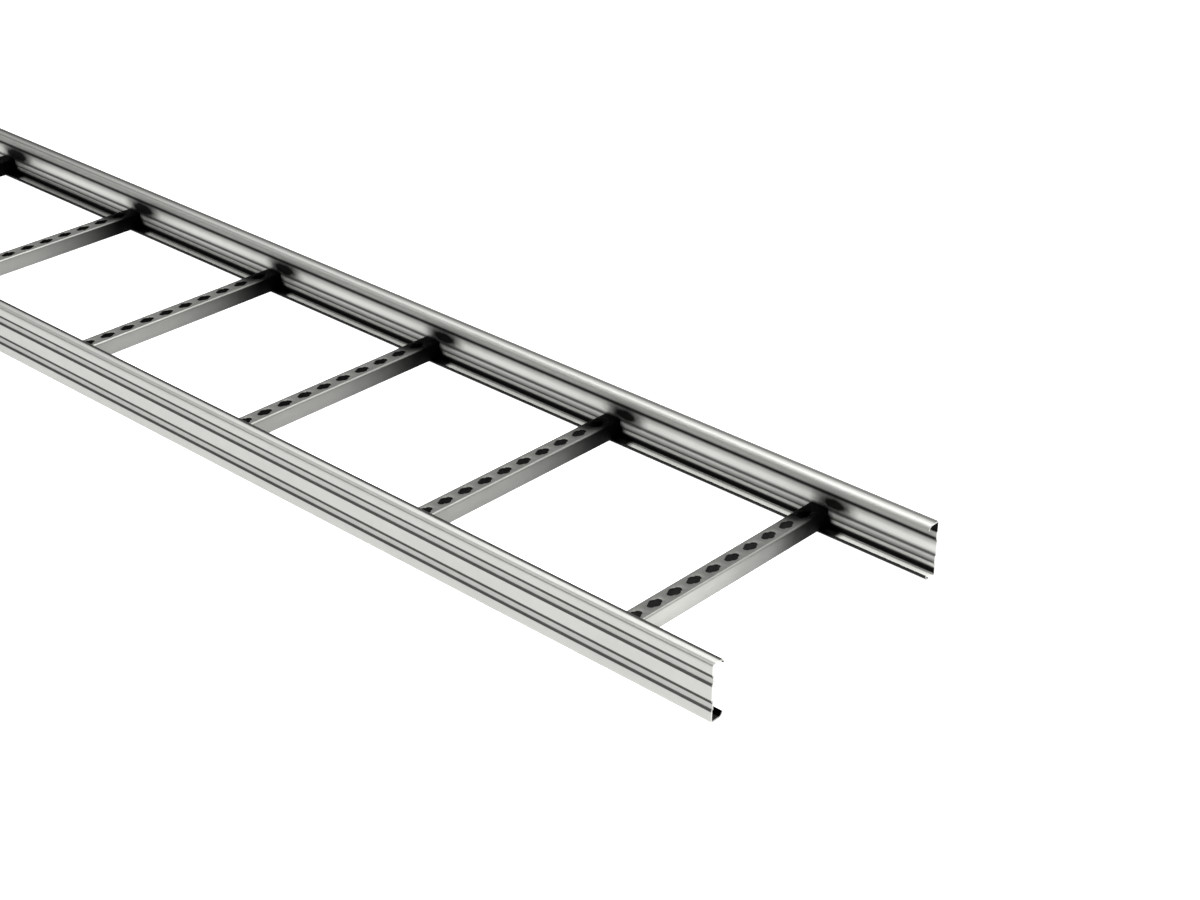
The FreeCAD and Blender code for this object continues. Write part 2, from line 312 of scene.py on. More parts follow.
def place_group(tree, group, **values):
    node = tree.nodes.new("ShaderNodeGroup")
    node.node_tree = group
    for label, value in values.items():
        node.inputs[label.replace("_", " ")].default_value = value
    return node


def blend(tree, factor, first, second, mode="MIX"):
    # On a Mix node, input 0 is the factor, 6 and 7 are the colours and output 2 is the mixed colour.
    node = tree.nodes.new("ShaderNodeMix")
    node.data_type = "RGBA"
    node.blend_type = mode
    for socket, value in zip((node.inputs[0], node.inputs[6], node.inputs[7]), (factor, first, second)):
        if isinstance(value, bpy.types.NodeSocket):
            tree.links.new(value, socket)
        else:
            socket.default_value = value
    return node.outputs[2]


def beyond(tree, value, start, width):
    return maths(tree, "DIVIDE", maths(tree, "SUBTRACT", value, start * MM), width * MM, clamp=True)


def opposite(tree, value):
    return maths(tree, "SUBTRACT", 1.0, value)


def darken(tree, tone, mask, strength):
    kept = opposite(tree, maths(tree, "MULTIPLY", mask, strength))
    return maths(tree, "MULTIPLY", tone, kept)


print("chart helpers ready")

# %% [markdown]
# ## The two steels
# Both steels are zinc over rolled sheet. The rails look soft and pale, and the
# rungs look duller, with darker tops, which come partly from the grey air they
# mirror and partly from a painted reflection. Each steel keeps its own shader:
# the tone, which holds the painted light and shade, scales its colour, and where
# the tone is dark the surface is also rougher and doesn't shine.

# %% Mix a steel
SCRATCH_START = 0.66
SCRATCH_GAIN = 3.0
SCRATCH_STRENGTH = 0.6
GRAIN_ROUGHNESS = 0.12
# Extra roughness where the tone is darkened by painted shade.
SHADE_ROUGHNESS = 0.3
GRAIN_RELIEF = 0.5
RELIEF_STRENGTH = 0.12
RELIEF_DEPTH = 0.1 * MM


def steel(name, bright, dull, roughness, metallic, unshaded_tone, tone_of, line_axes, scratch_axes):
    material = bpy.data.materials.new(name)
    material.use_nodes = True
    tree = material.node_tree
    shader = tree.nodes["Principled BSDF"]
    zinc = place_group(tree, grain)
    mill = place_group(tree, rolling, **line_axes)
    scratch = place_group(tree, rolling, **scratch_axes)
    tone = tone_of(tree)
    colour = blend(tree, zinc.outputs["Cloud"], bright, dull)
    past_start = maths(tree, "SUBTRACT", scratch.outputs["Lines"], SCRATCH_START)
    thin = maths(tree, "MULTIPLY", past_start, SCRATCH_GAIN, clamp=True)
    colour = blend(tree, maths(tree, "MULTIPLY", thin, SCRATCH_STRENGTH), colour, (1, 1, 1, 1))
    colour = blend(tree, 1.0, colour, tone, "MULTIPLY")
    tree.links.new(colour, shader.inputs["Base Color"])
    # Where painted shade makes the tone darker than the unshaded tone, the surface grows rougher and more
    # metallic.
    shade_share = maths(tree, "SUBTRACT", 1.0, maths(tree, "DIVIDE", tone, unshaded_tone), clamp=True)
    grain_share = maths(tree, "MULTIPLY", zinc.outputs["Grain"], GRAIN_ROUGHNESS)
    grainy = maths(tree, "ADD", grain_share, roughness - GRAIN_ROUGHNESS / 2)
    grain_and_shade_roughness = maths(tree, "ADD", grainy, maths(tree, "MULTIPLY", shade_share, SHADE_ROUGHNESS), clamp=True)
    tree.links.new(grain_and_shade_roughness, shader.inputs["Roughness"])
    metal = maths(tree, "ADD", maths(tree, "MULTIPLY", shade_share, 1 - metallic), metallic)
    tree.links.new(metal, shader.inputs["Metallic"])
    grain_height = maths(tree, "MULTIPLY", zinc.outputs["Grain"], GRAIN_RELIEF)
    relief = maths(tree, "ADD", mill.outputs["Lines"], grain_height)
    bump = tree.nodes.new("ShaderNodeBump")
    bump.inputs["Strength"].default_value = RELIEF_STRENGTH
    bump.inputs["Distance"].default_value = RELIEF_DEPTH
    tree.links.new(relief, bump.inputs["Height"])
    tree.links.new(bump.outputs[0], shader.inputs["Normal"])
    return material


print("steel mixer ready")

# %% Charts of the rail
# Painted light and shade: dark stops are painted shade and reflections at bead edges, under the top flange
# and in the bottom corner; pale stops on rounded edges are painted highlights.
OUTER_BY_HEIGHT = [
    (0, 0.37), (1.5, 0.42), (3.0, 0.37), (8.0, 0.345), (10.3, 0.33),
    (10.6, 0.05), (12.8, 0.05), (13.2, 0.285), (17.5, 0.285), (17.8, 0.05), (21.0, 0.05),
    (21.4, 0.335), (34.1, 0.335),
    (34.4, 0.05), (36.7, 0.05), (37.1, 0.285), (41.6, 0.285), (41.9, 0.05), (44.9, 0.05),
    (45.3, 0.335), (51.0, 0.335), (53.0, 0.29), (55, 0.24)]
INNER_BY_HEIGHT = [
    (0, 0.35), (1.6, 0.22), (2.6, 0.035), (3.4, 0.006), (6.3, 0.006), (7.6, 0.065), (8.8, 0.37), (9.8, 0.54),
    (11.2, 0.47), (12.4, 0.19), (12.9, 0.075), (14.0, 0.075), (14.6, 0.13), (16.0, 0.20), (17.8, 0.28),
    (19.3, 0.28), (19.8, 0.09), (21.2, 0.08), (22.0, 0.21), (24.5, 0.46), (28.2, 0.48), (30.0, 0.40),
    (32.0, 0.285), (33.3, 0.26), (34.6, 0.12), (36.0, 0.008), (37.8, 0.008), (38.7, 0.09), (39.8, 0.20),
    (43.4, 0.23), (44.2, 0.008), (55, 0.008)]
TOP_BY_DEPTH = [
    (-15, 0.20), (-14.0, 0.20), (-13.6, 0.045), (-9.4, 0.045), (-8.6, 0.19), (-7.4, 0.38), (-4.2, 0.38),
    (-2.4, 0.16), (-0.1, 0.16),
    (0.1, 0.34), (1.3, 0.34), (1.9, 0.14), (4.6, 0.105), (7.8, 0.30), (9.5, 0.39), (11.0, 0.38),
    (12.0, 0.28), (12.8, 0.22), (13.6, 0.20), (15, 0.20)]
BOTTOM_BY_DEPTH = [
    (0, 0.40), (2.9, 0.46), (3.6, 0.66), (5.0, 0.88), (8.9, 0.88), (9.4, 0.50), (9.9, 0.02), (15, 0.02)]
rail_charts = (OUTER_BY_HEIGHT, INNER_BY_HEIGHT, TOP_BY_DEPTH, BOTTOM_BY_DEPTH)
print("places in the rail's charts:", sum(len(chart) for chart in rail_charts))

# %% [markdown]
# ## Which face is where
# A chart holds the tones of one face, so the shader has to know which face it
# is on. The height and the depth, which is measured inwards from the outer
# face, tell that. Each zone is a pair of numbers in millimetres: where it
# starts, and how wide its soft border is.

# %% Zones of the rail
INSIDE = (1.25, 0.1)
PAST_BEADS = (2.9, 0.3)
UPPER_HALF = (40, 1)
TOP_FACE = (53.0, 0.3)


def rail_zones(tree, z, depth):
    inner = beyond(tree, depth, *INSIDE)
    past_beads = beyond(tree, depth, *PAST_BEADS)
    high = beyond(tree, z, *UPPER_HALF)
    low_flange = maths(tree, "MULTIPLY", past_beads, opposite(tree, high))
    high_flange = maths(tree, "MULTIPLY", past_beads, high)
    top_flange = maths(tree, "MAXIMUM", beyond(tree, z, *TOP_FACE), high_flange)
    return inner, past_beads, low_flange, top_flange


print("the web's inner side starts at", INSIDE[0], "mm of depth")

# %% [markdown]
# ## Paler towards the near end
# In the photo the rails are palest at the near end and grow greyer with the
# distance. That is the studio's light more than the zinc, but the surface
# carries it here. One chart along the ladder says by how much. The flanges
# change most and the outer faces least, so each takes the chart to its power.

# %% Fade along the rail
PALE_ALONG = [
    (-1500, 0.40), (0, 0.40), (200, 0.42), (400, 0.505), (600, 0.595), (800, 0.665), (1000, 0.735),
    (1200, 0.83), (1300, 0.90), (1400, 0.965), (1500, 1.0)]
CROWN_START = (2.4, 0.6)
CROWN_END = (13.0, 0.8)
LOW_WALL_END = (10.8, 0.4)
LOW_FLANGE_POWER = 1.5
OUTER_POWER = 0.25


def fade_along(tree, tone, x, z, depth, zones):
    inner, past_beads, low_flange, top_flange = zones
    paleness = tone_chart(tree, x, PALE_ALONG)
    greyness = opposite(tree, paleness)
    flat = maths(tree, "SUBTRACT", beyond(tree, depth, *CROWN_START), beyond(tree, depth, *CROWN_END))
    crown = maths(tree, "MULTIPLY", top_flange, flat)
    web_inside = maths(tree, "SUBTRACT", inner, past_beads)
    low_wall = maths(tree, "MULTIPLY", web_inside, opposite(tree, beyond(tree, z, *LOW_WALL_END)))
    outer = opposite(tree, maths(tree, "MAXIMUM", inner, top_flange))
    tone = darken(tree, tone, crown, greyness)
    tone = darken(tree, tone, low_flange, opposite(tree, maths(tree, "POWER", paleness, LOW_FLANGE_POWER)))
    tone = darken(tree, tone, low_wall, greyness)
    return darken(tree, tone, outer, opposite(tree, maths(tree, "POWER", paleness, OUTER_POWER)))


print("places in the chart along the rail:", len(PALE_ALONG))

# %% [markdown]
# ## Painted shade and reflection at the joints
# Three soft ovals darken each joint: one behind the rung's end, a longer one
# above it on the web and one at the bottom flange. Further from the near end
# the photo shows the web's mark longer and with a firmer edge.

# %% Shade the joints
JOINT_MARK = {
    "Ahead": 1 * MM, "Height": 10 * MM, "Half_Length": 17.5 * MM, "Half_Height": 15.5 * MM, "Soft": 0.4}
FLOOR_MARK = {
    "Ahead": 10 * MM, "Height": 1 * MM, "Half_Length": 19 * MM, "Half_Height": 8 * MM, "Soft": 0.35}
WEB_MARK = {"Ahead": 15.5 * MM, "Height": 27.5 * MM, "Half_Height": 11.5 * MM}
MIDDLE_LENGTH, SHORTER_PER_METRE = 37.2 * MM, 5.6 * MM
MIDDLE_SOFTNESS, SOFTER_PER_METRE = 0.54, 0.10
# How strongly the painted shade darkens each joint and the web's and floor's marks.
JOINT_SHADE = 0.99
MARK_SHADE = 0.985


# Darkens the rail's inner side round each joint with painted shade and painted reflection.
def shade_joints(tree, tone, x, inner):
    joint = place_group(tree, halo, **JOINT_MARK)
    web_mark = place_group(tree, halo, **WEB_MARK)
    floor_mark = place_group(tree, halo, **FLOOR_MARK)
    half_length = maths(tree, "SUBTRACT", MIDDLE_LENGTH, maths(tree, "MULTIPLY", x, SHORTER_PER_METRE))
    softness = maths(tree, "ADD", MIDDLE_SOFTNESS, maths(tree, "MULTIPLY", x, SOFTER_PER_METRE))
    tree.links.new(half_length, web_mark.inputs["Half Length"])
    tree.links.new(softness, web_mark.inputs["Soft"])
    for mark, strength in ((joint, JOINT_SHADE), (web_mark, MARK_SHADE), (floor_mark, MARK_SHADE)):
        tone = darken(tree, tone, maths(tree, "MULTIPLY", mark.outputs["Mask"], inner), strength)
    return tone


print("marks at each joint:", len((JOINT_MARK, FLOOR_MARK, WEB_MARK)))

# %% [markdown]
# ## Rail steel
# The rail's tone starts with the outer and inner faces of the web, takes the
# flanges over them, then fades along the ladder and takes the painted shade at
# the joints. At the near rail's ends the inside of the bottom fold is painted
# black as shade, so it looks black from outside, and the cut end faces show a
# little brighter.

# %% Mix the rail steel
half_length_mm = LADDER_LENGTH / 2 / MM
FOLD_TOP = (7, 1)
FOLD_MOUTH = (half_length_mm - 15, 3)
CUT_FACE = (half_length_mm - 0.15, 0.1)
MOUTH_DARKNESS = 0.98
CUT_SHARE = 0.35
CUT_TONE = (0.95, 0.95, 0.95, 1)


def rail_tone(tree):
    x, y, z = object_axes(tree)
    depth = maths(tree, "SUBTRACT", LADDER_WIDTH / 2, maths(tree, "ABSOLUTE", y))
    side = maths(tree, "SIGN", y)
    zones = rail_zones(tree, z, depth)
    inner, _, low_flange, top_flange = zones
    tone = blend(tree, inner, tone_chart(tree, z, OUTER_BY_HEIGHT), tone_chart(tree, z, INNER_BY_HEIGHT))
    tone = blend(tree, low_flange, tone, tone_chart(tree, depth, BOTTOM_BY_DEPTH))
    signed_depth = maths(tree, "MULTIPLY", depth, side)
    tone = blend(tree, top_flange, tone, tone_chart(tree, signed_depth, TOP_BY_DEPTH))
    tone = fade_along(tree, tone, x, z, depth, zones)
    # Painted shade at every joint.
    tone = shade_joints(tree, tone, x, inner)
    along = maths(tree, "ABSOLUTE", x)
    near_rail = maths(tree, "MULTIPLY", side, -1.0, clamp=True)
    mouth = maths(tree, "MULTIPLY", beyond(tree, along, *FOLD_MOUTH), near_rail)
    # Painted shade: the inside of the near rail's bottom fold is painted black at its ends.
    in_fold = maths(tree, "MULTIPLY", inner, opposite(tree, beyond(tree, z, *FOLD_TOP)))
    tone = darken(tree, tone, maths(tree, "MULTIPLY", mouth, in_fold), MOUTH_DARKNESS)
    cut = maths(tree, "MULTIPLY", beyond(tree, along, *CUT_FACE), CUT_SHARE)
    return blend(tree, cut, tone, CUT_TONE)


rail_steel = steel(
    "rail_steel", bright=(0.90, 0.90, 0.855, 1), dull=(0.80, 0.80, 0.76, 1),
    roughness=0.45, metallic=0.25, unshaded_tone=0.30, tone_of=rail_tone,
    line_axes={"Along_X": 2.0, "Along_Y": 600.0, "Along_Z": 600.0},
    scratch_axes={"Along_X": 40.0, "Along_Y": 900.0, "Along_Z": 900.0})
print("rail_steel nodes:", len(rail_steel.node_tree.nodes))

# %% [markdown]
# ## Rung steel
# On a rung the tone holds painted light and shade, and depends on the face and
# on the nearness to the welded joint. The top, the side and the rounded edge
# between them have one chart each along the rung: the top is painted darker than
# the side as a painted reflection, the rounded front edge carries a painted
# highlight, and all three grow darker towards the joints as painted shade. As in
# the photo, that painted shade at the joint lies aslant over the top, and the
# first rung's side is painted brightest as painted light. The inside of the
# channel, with the walls of the slots, is painted dark as shade.

# %% Charts of the rung
# Painted light and shade: the top chart holds a painted reflection, the edge chart a painted highlight, and
# all darken towards the joints as painted shade.
TOP_ALONG = [
    (-150, 0.04), (-143, 0.08), (-136, 0.19), (70, 0.19), (90, 0.155), (100, 0.11), (107, 0.06),
    (112, 0.018), (117, 0.003), (150, 0.002)]
EDGE_ALONG = [
    (-150, 0.05), (-143, 0.30), (-136, 0.64), (0, 0.54), (60, 0.42), (90, 0.31), (100, 0.25), (110, 0.125),
    (118, 0.04), (125, 0.006), (150, 0.004)]
SIDE_ALONG = [
    (-150, 0.05), (-143, 0.22), (-132, 0.37), (-70, 0.37), (0, 0.28), (30, 0.19), (50, 0.15), (70, 0.10),
    (90, 0.045), (100, 0.024), (110, 0.008), (118, 0.002), (150, 0.002)]
print("places in the rung's charts:", len(TOP_ALONG) + len(EDGE_ALONG) + len(SIDE_ALONG))

# %% Mix the rung steel
OFF_EDGE = (1.5, 0.4)
BELOW_EDGE = (0.9, 0.5)
INSIDE_SHEET = (0.62, 0.3)
INSIDE_DARKNESS = 0.996
SLANT = 0.8
FIRST_BRIGHTNESS = 1.85
LATER_LOSS = 0.9


def rung_tone(tree):
    _, y, z = object_axes(tree)
    nearest_place = place_group(tree, nearest)
    below = maths(tree, "SUBTRACT", RUNG_FOOT + RUNG_HEIGHT, z)
    offset = nearest_place.outputs["Offset"]
    gap = maths(tree, "SUBTRACT", RUNG_WIDTH / 2, maths(tree, "ABSOLUTE", offset))
    front_gap = maths(tree, "SUBTRACT", RUNG_WIDTH / 2, offset)
    front_edge = opposite(tree, beyond(tree, front_gap, *OFF_EDGE))
    near_side = opposite(tree, beyond(tree, gap, *OFF_EDGE))
    side = maths(tree, "MULTIPLY", near_side, beyond(tree, below, *BELOW_EDGE))
    towards_front = maths(tree, "MAXIMUM", offset, 0.0)
    slanted = maths(tree, "SUBTRACT", y, maths(tree, "MULTIPLY", towards_front, SLANT))
    # Painted highlight on the rounded front edge, over the top's painted reflection.
    tone = blend(tree, front_edge, tone_chart(tree, slanted, TOP_ALONG), tone_chart(tree, y, EDGE_ALONG))
    # Painted light: the first rung's side is painted brightest.
    later = maths(tree, "MINIMUM", nearest_place.outputs["Number"], 1.0)
    brightness = maths(tree, "SUBTRACT", FIRST_BRIGHTNESS, maths(tree, "MULTIPLY", later, LATER_LOSS))
    side_tone = maths(tree, "MULTIPLY", tone_chart(tree, y, SIDE_ALONG), brightness)
    tone = blend(tree, side, tone, side_tone)
    # Painted shade: the inside of the channel and the slot walls are painted dark.
    buried = maths(tree, "MINIMUM", below, gap)
    return darken(tree, tone, beyond(tree, buried, *INSIDE_SHEET), INSIDE_DARKNESS)


rung_steel = steel(
    "rung_steel", bright=(0.52, 0.52, 0.49, 1), dull=(0.44, 0.44, 0.415, 1),
    roughness=0.40, metallic=0.5, unshaded_tone=0.20, tone_of=rung_tone,
    line_axes={"Along_X": 600.0, "Along_Y": 2.0, "Along_Z": 600.0},
    scratch_axes={"Along_X": 900.0, "Along_Y": 40.0, "Along_Z": 900.0})
print("rung_steel nodes:", len(rung_steel.node_tree.nodes))

# %% [markdown]
# ## The rail's section
# On the real rail, rolls fold one strip of sheet, step by step, into a
# channel: a web with two pressed beads, a top flange whose edge curls down and
# a bottom flange whose edge curls up. Its section can be drawn as one closed
# outline, first along the outside, then back along the inside.

# %% Draw the section
def quarter_arc(centre, radius, first_degrees, last_degrees, steps=8):
    points = []
    for step in range(steps + 1):
        angle = math.radians(first_degrees + (last_degrees - first_degrees) * step / steps)
        points.append((centre[0] + radius * math.cos(angle), centre[1] + radius * math.sin(angle)))
    return points


def rail_outline():
    top_curl = (TOP_FLANGE - TOP_CURL_RADIUS, RAIL_HEIGHT - TOP_CURL_RADIUS)
    top_corner = (CORNER_RADIUS, RAIL_HEIGHT - CORNER_RADIUS)
    low_corner = (CORNER_RADIUS, CORNER_RADIUS)
    low_curl = (BOTTOM_FLANGE - BOTTOM_CURL_RADIUS, BOTTOM_CURL_RADIUS)
    half = BEAD_WIDTH / 2
    outside = quarter_arc(top_curl, TOP_CURL_RADIUS, 0, 90)
    outside += quarter_arc(top_corner, CORNER_RADIUS, 90, 180)
    for middle in reversed(BEAD_HEIGHTS):
        outside += [(0, middle + half), (BEAD_DEPTH, middle + half - BEAD_SLOPE)]
        outside += [(BEAD_DEPTH, middle - half + BEAD_SLOPE), (0, middle - half)]
    outside += quarter_arc(low_corner, CORNER_RADIUS, 180, 270)
    outside += quarter_arc(low_curl, BOTTOM_CURL_RADIUS, 270, 360)
    inside = quarter_arc(low_curl, BOTTOM_CURL_RADIUS - RAIL_SHEET, 360, 270)
    inside += quarter_arc(low_corner, CORNER_RADIUS - RAIL_SHEET, 270, 180)
    crest = RAIL_SHEET + BEAD_DEPTH
    wide = half + BEAD_WALL
    for middle in BEAD_HEIGHTS:
        inside += [(RAIL_SHEET, middle - wide), (crest, middle - wide + BEAD_SLOPE)]
        inside += [(crest, middle + wide - BEAD_SLOPE), (RAIL_SHEET, middle + wide)]
    inside += quarter_arc(top_corner, CORNER_RADIUS - RAIL_SHEET, 180, 90)
    inside += quarter_arc(top_curl, TOP_CURL_RADIUS - RAIL_SHEET, 90, 0)
    return outside + inside


section = rail_outline()
section_mesh = bpy.data.meshes.new("rail_section")
section_mesh.from_pydata([(0, y, z) for y, z in section], [], [tuple(range(len(section)))])
print("corners in the section:", len(section))

# %% [markdown]
# ## Sweep the rails
# A rail is the same section all along, which is what an extrusion makes. A
# small Geometry Nodes tree pushes the section along the ladder, closes both
# ends and turns the whole rail for its side. The same tree makes both rails.

# %% Build the sweep tree
def node_tree(name, floats):
    tree = bpy.data.node_groups.new(name, "GeometryNodeTree")
    tree.interface.new_socket("Geometry", in_out="INPUT", socket_type="NodeSocketGeometry")
    for label, value in floats:
        socket = tree.interface.new_socket(label, in_out="INPUT", socket_type="NodeSocketFloat")
        socket.default_value = value
    tree.interface.new_socket("Material", in_out="INPUT", socket_type="NodeSocketMaterial")
    tree.interface.new_socket("Geometry", in_out="OUTPUT", socket_type="NodeSocketGeometry")
    return tree, tree.nodes.new("NodeGroupInput"), tree.nodes.new("NodeGroupOutput")


def vector_of(tree, x=None, y=None, z=None):
    node = tree.nodes.new("ShaderNodeCombineXYZ")
    for socket, value in zip(node.inputs, (x, y, z)):
        if value is not None:
            tree.links.new(value, socket)
    return node.outputs[0]


sweep, sweep_in, sweep_out = node_tree("sweep_rail", [("Length", 1.0), ("Turn", 0.0), ("Shift", 0.0)])
extrude = sweep.nodes.new("GeometryNodeExtrudeMesh")
extrude.inputs["Individual"].default_value = False
sweep.links.new(sweep_in.outputs["Geometry"], extrude.inputs["Mesh"])
sweep.links.new(vector_of(sweep, x=sweep_in.outputs["Length"]), extrude.inputs["Offset"])
extrude.inputs["Offset Scale"].default_value = 1
near_cap = sweep.nodes.new("GeometryNodeFlipFaces")
sweep.links.new(sweep_in.outputs["Geometry"], near_cap.inputs[0])
joined = sweep.nodes.new("GeometryNodeJoinGeometry")
sweep.links.new(near_cap.outputs[0], joined.inputs[0])
sweep.links.new(extrude.outputs["Mesh"], joined.inputs[0])
closed = sweep.nodes.new("GeometryNodeMergeByDistance")
closed.inputs["Distance"].default_value = WELD_DISTANCE
sweep.links.new(joined.outputs[0], closed.inputs["Geometry"])
centred = sweep.nodes.new("GeometryNodeTransform")
sweep.links.new(closed.outputs[0], centred.inputs["Geometry"])
half_back = maths(sweep, "MULTIPLY", sweep_in.outputs["Length"], -0.5)
sweep.links.new(vector_of(sweep, x=half_back), centred.inputs["Translation"])
turned = sweep.nodes.new("GeometryNodeTransform")
sweep.links.new(centred.outputs[0], turned.inputs["Geometry"])
sweep.links.new(vector_of(sweep, y=sweep_in.outputs["Shift"]), turned.inputs["Translation"])
sweep.links.new(vector_of(sweep, z=sweep_in.outputs["Turn"]), turned.inputs["Rotation"])
print("sweep_rail nodes:", len(sweep.nodes))

# %% End each tree alike
def end_tree(tree, group_in, group_out, geometry):
    realise = tree.nodes.new("GeometryNodeRealizeInstances")
    tree.links.new(geometry, realise.inputs[0])
    coat = tree.nodes.new("GeometryNodeSetMaterial")
    tree.links.new(realise.outputs[0], coat.inputs["Geometry"])
    tree.links.new(group_in.outputs["Material"], coat.inputs["Material"])
    tree.links.new(coat.outputs[0], group_out.inputs[0])


end_tree(sweep, sweep_in, sweep_out, turned.outputs[0])
print("sweep_rail ends in", sweep_out.inputs[0].links[0].from_node.bl_label)

# %% Run a tree to a plain mesh
SOFT_EDGE = 0.2 * MM
SOFTEN_DEGREES = 40
SHARP_DEGREES = 32


def run_tree(name, base_mesh, tree, values):
    maker = bpy.data.objects.new(name, base_mesh)
    bpy.context.collection.objects.link(maker)
    modifier = maker.modifiers.new("maker", "NODES")
    modifier.node_group = tree
    for item in tree.interface.items_tree:
        if item.item_type == "SOCKET" and item.in_out == "INPUT" and item.name in values:
            modifier[item.identifier] = values[item.name]
    soften = maker.modifiers.new("soft_edges", "BEVEL")
    soften.width = SOFT_EDGE
    soften.segments = 2
    soften.limit_method = "ANGLE"
    soften.angle_limit = math.radians(SOFTEN_DEGREES)
    evaluated = maker.evaluated_get(bpy.context.evaluated_depsgraph_get())
    mesh = bpy.data.meshes.new_from_object(evaluated)
    bpy.data.objects.remove(maker)
    mesh.name = name
    piece = bpy.data.objects.new(name, mesh)
    bpy.context.collection.objects.link(piece)
    return piece


def shade_folds(piece):
    sharp_angle = math.radians(SHARP_DEGREES)
    shape = bmesh.new()
    shape.from_mesh(piece.data)
    for face in shape.faces:
        face.smooth = True
    for edge in shape.edges:
        edge.smooth = len(edge.link_faces) == 2 and edge.calc_face_angle() < sharp_angle
    shape.to_mesh(piece.data)
    shape.free()


for side, name in ((-1, "side_rail_right"), (1, "side_rail_left")):
    turn_angle = math.pi if side > 0 else 0.0
    rail = run_tree(name + "_steel", section_mesh, sweep, {
        "Length": LADDER_LENGTH, "Turn": turn_angle,
        "Shift": side * LADDER_WIDTH / 2, "Material": rail_steel})
    shade_folds(rail)
    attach(rail, "root")
    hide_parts(name)
    print(rail.name, "faces:", len(rail.data.polygons))

# %% [markdown]
# ## One cell of a rung
# A rung is a channel that opens downwards. Its flat top has a slot every
# 25 mm, and each slot widens to a round eye in its middle. The rung is the
# same cell again and again, so one cell is drawn with care: a ring of faces
# runs from the slot's edge to the cell's edge, and bands of faces follow the
# channel's section down both sides.

# %% Outline of a slot
SLOT_END_STEPS, EYE_STEPS = 6, 5
STEPS_ACROSS, STEPS_ALONG = 5, 7
FLAT_HALF = RUNG_WIDTH / 2 - RUNG_EDGE_RADIUS


def slot_quarter():
    round_radius = SLOT_WIDTH / 2
    eye_radius = EYE_WIDTH / 2
    round_centre = SLOT_LENGTH / 2 - round_radius
    meeting = math.degrees(math.asin(math.sqrt(eye_radius ** 2 - round_radius ** 2) / eye_radius))
    points = quarter_arc((0, round_centre), round_radius, 90, 0, SLOT_END_STEPS)
    points += quarter_arc((0, 0), eye_radius, meeting, 0, EYE_STEPS)
    return points


def cell_quarter():
    across = [(FLAT_HALF * step / STEPS_ACROSS, SLOT_PITCH / 2) for step in range(STEPS_ACROSS + 1)]
    along = [(FLAT_HALF, SLOT_PITCH / 2 * (1 - step / STEPS_ALONG)) for step in range(1, STEPS_ALONG + 1)]
    return across + along


def all_round(quarter):
    upper_right = quarter[:-1]
    lower_right = [(x, -y) for x, y in reversed(quarter)][:-1]
    lower_left = [(-x, -y) for x, y in quarter][:-1]
    upper_left = [(-x, y) for x, y in reversed(quarter)][:-1]
    return upper_right + lower_right + lower_left + upper_left


slot_edge = all_round(slot_quarter())
cell_edge = all_round(cell_quarter())
print("points round a slot:", len(slot_edge), "and round its cell:", len(cell_edge))

# %% Section of the channel
OUTER_BEND_STEPS, INNER_BEND_STEPS = 5, 2


def channel_side():
    half = RUNG_WIDTH / 2
    centre = (FLAT_HALF, RUNG_HEIGHT - RUNG_EDGE_RADIUS)
    points = quarter_arc(centre, RUNG_EDGE_RADIUS, 90, 0, OUTER_BEND_STEPS)
    points += [(half, 0), (half - RUNG_SHEET, 0)]
    points += quarter_arc(centre, RUNG_EDGE_RADIUS - RUNG_SHEET, 0, 90, INNER_BEND_STEPS)
    return points


side_path = channel_side()
print("corners down one side:", len(side_path))

# %% Build the cell
PLACE_DIGITS = 7


def add_side(shape, along, mirror):
    rows = []
    for x, z in side_path:
        rows.append([shape.verts.new((mirror * x, y, z)) for y in along])
    for upper, lower in zip(rows, rows[1:]):
        for index in range(len(along) - 1):
            corners = [upper[index], lower[index], lower[index + 1], upper[index + 1]]
            shape.faces.new(corners if mirror > 0 else corners[::-1])


def finish_cell(name, shape):
    bmesh.ops.remove_doubles(shape, verts=shape.verts, dist=WELD_DISTANCE)
    mesh = bpy.data.meshes.new(name)
    shape.to_mesh(mesh)
    shape.free()
    return mesh


def slotted_cell():
    shape = bmesh.new()
    rings = []
    over, under = RUNG_HEIGHT, RUNG_HEIGHT - RUNG_SHEET
    for outline, z in ((cell_edge, over), (slot_edge, over), (slot_edge, under), (cell_edge, under)):
        rings.append([shape.verts.new((x, y, z)) for x, y in outline])
    count = len(cell_edge)
    for outer, inner in zip(rings, rings[1:]):
        for index in range(count):
            following = (index + 1) % count
            shape.faces.new([outer[index], outer[following], inner[following], inner[index]][::-1])
    along = sorted({round(y, PLACE_DIGITS) for x, y in cell_edge if abs(x) > FLAT_HALF - SAME_PLACE})
    for mirror in (1, -1):
        add_side(shape, along, mirror)
    return finish_cell("slotted_cell", shape)


cell = slotted_cell()
print("faces in a cell:", len(cell.polygons))

